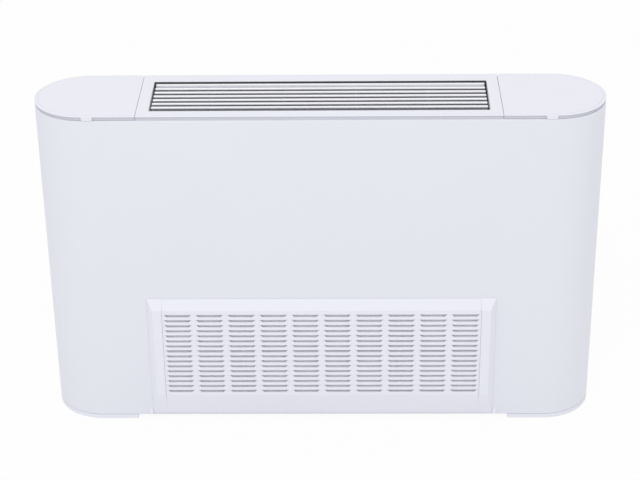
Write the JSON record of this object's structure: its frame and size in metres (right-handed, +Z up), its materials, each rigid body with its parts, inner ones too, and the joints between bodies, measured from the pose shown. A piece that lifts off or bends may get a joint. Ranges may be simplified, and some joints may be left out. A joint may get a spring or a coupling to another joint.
{
  "type": "floor-ceiling air conditioner",
  "caption": "Exposed floor-ceiling fan coil cabinet with rounded ends, louvred intake tray that tilts, bladed air outlet between two hinged lids, and a working fan, coil and drain inside.",
  "frame": {"origin": "on the floor under the feet, at the middle of the overall box", "axes": "+X along the width to the viewer's right, +Y from the room to the wall, +Z up"},
  "size_m": [1, 0.192, 0.618],
  "materials": {
    "painted_white": "fine satin powder coat",
    "white_plastic": "satin moulded",
    "dark_plastic": "matt moulded",
    "knob_plastic": "satin moulded",
    "galvanised": "galvanised sheet",
    "steel": "turned, zinc plated",
    "motor_steel": "dark enamel",
    "fin_aluminium": "mill finish fins",
    "copper": "drawn tube",
    "brass": "machined",
    "rubber": "matt",
    "foam": "closed-cell foam",
    "net": "woven filter net",
    "capacitor_shell": "moulded shell"
  },
  "bodies": {
    "cabinet": {"casing": "painted_white", "front_insulation": "foam", "foot_left": "white_plastic", "foot_right": "white_plastic", "outlet_grille": "white_plastic", "lid_pin_left": "steel", "lid_pin_right": "steel", "end_frame_left": "white_plastic", "end_frame_right": "white_plastic", "grille_pivot_left": "dark_plastic", "grille_pivot_right": "dark_plastic", "side_plate_left": "galvanised", "side_plate_right": "galvanised", "back_plate": "galvanised", "bottom_plate": "galvanised", "fan_deck": "galvanised", "scroll_left": "dark_plastic", "scroll_right": "dark_plastic", "motor": "motor_steel", "motor_mount_rings": "rubber", "motor_cradle": "galvanised", "coil_fins": "fin_aluminium", "coil_plate_left": "galvanised", "coil_plate_right": "galvanised", "coil_bends": "copper", "header_supply": "copper", "header_return": "copper", "socket_supply": "brass", "socket_return": "brass", "air_vent": "brass", "drain_pan": "galvanised", "drip_tray": "dark_plastic", "electrical_box": "galvanised", "electrical_cover": "galvanised", "terminal_block": "dark_plastic", "capacitor": "capacitor_shell", "cable_gland": "rubber", "control_panel": "white_plastic", "thermostat_body": "dark_plastic", "speed_switch_body": "dark_plastic", "casing_screws": "steel"},
    "lid_left": {"lid_left": "white_plastic"},
    "lid_right": {"lid_right": "white_plastic"},
    "intake": {"intake_grille": "white_plastic", "grille_end_left": "white_plastic", "grille_end_right": "white_plastic", "filter_frame": "dark_plastic", "filter_net": "net"},
    "fan": {"fan_shaft": "steel", "impeller_left": "dark_plastic", "impeller_right": "dark_plastic"},
    "thermostat_knob": {"thermostat_knob": "knob_plastic"},
    "speed_knob": {"speed_knob": "knob_plastic"},
    "bleed_screw": {"bleed_screw": "brass"}
  },
  "joints": [
    {"name": "lid_left_hinge", "type": "hinge", "parent": "cabinet", "child": "lid_left", "pos_m": [-0.349, 0.0935, 0.6155], "axis": [-1, 0, 0], "range_deg": [0, 90]},
    {"name": "lid_right_hinge", "type": "hinge", "parent": "cabinet", "child": "lid_right", "pos_m": [0.349, 0.0935, 0.6155], "axis": [-1, 0, 0], "range_deg": [0, 90]},
    {"name": "intake_tilt", "type": "hinge", "parent": "cabinet", "child": "intake", "pos_m": [0, -0.0862, 0.0145], "axis": [1, 0, 0], "range_deg": [0, 60]},
    {"name": "fan_spin", "type": "hinge", "parent": "cabinet", "child": "fan", "pos_m": [0, 0.002, 0.128], "axis": [1, 0, 0], "continuous": true},
    {"name": "thermostat_turn", "type": "hinge", "parent": "cabinet", "child": "thermostat_knob", "pos_m": [0.3785, 0, 0.6], "axis": [0, 0, 1], "range_deg": [-135, 135]},
    {"name": "speed_turn", "type": "hinge", "parent": "cabinet", "child": "speed_knob", "pos_m": [0.4225, 0, 0.6], "axis": [0, 0, 1], "range_deg": [0, 120]},
    {"name": "bleed_turn", "type": "hinge", "parent": "cabinet", "child": "bleed_screw", "pos_m": [-0.354, 0.06532, 0.51747], "axis": [0, 0.4226, 0.9063], "range_deg": [0, 360]}
  ]
}
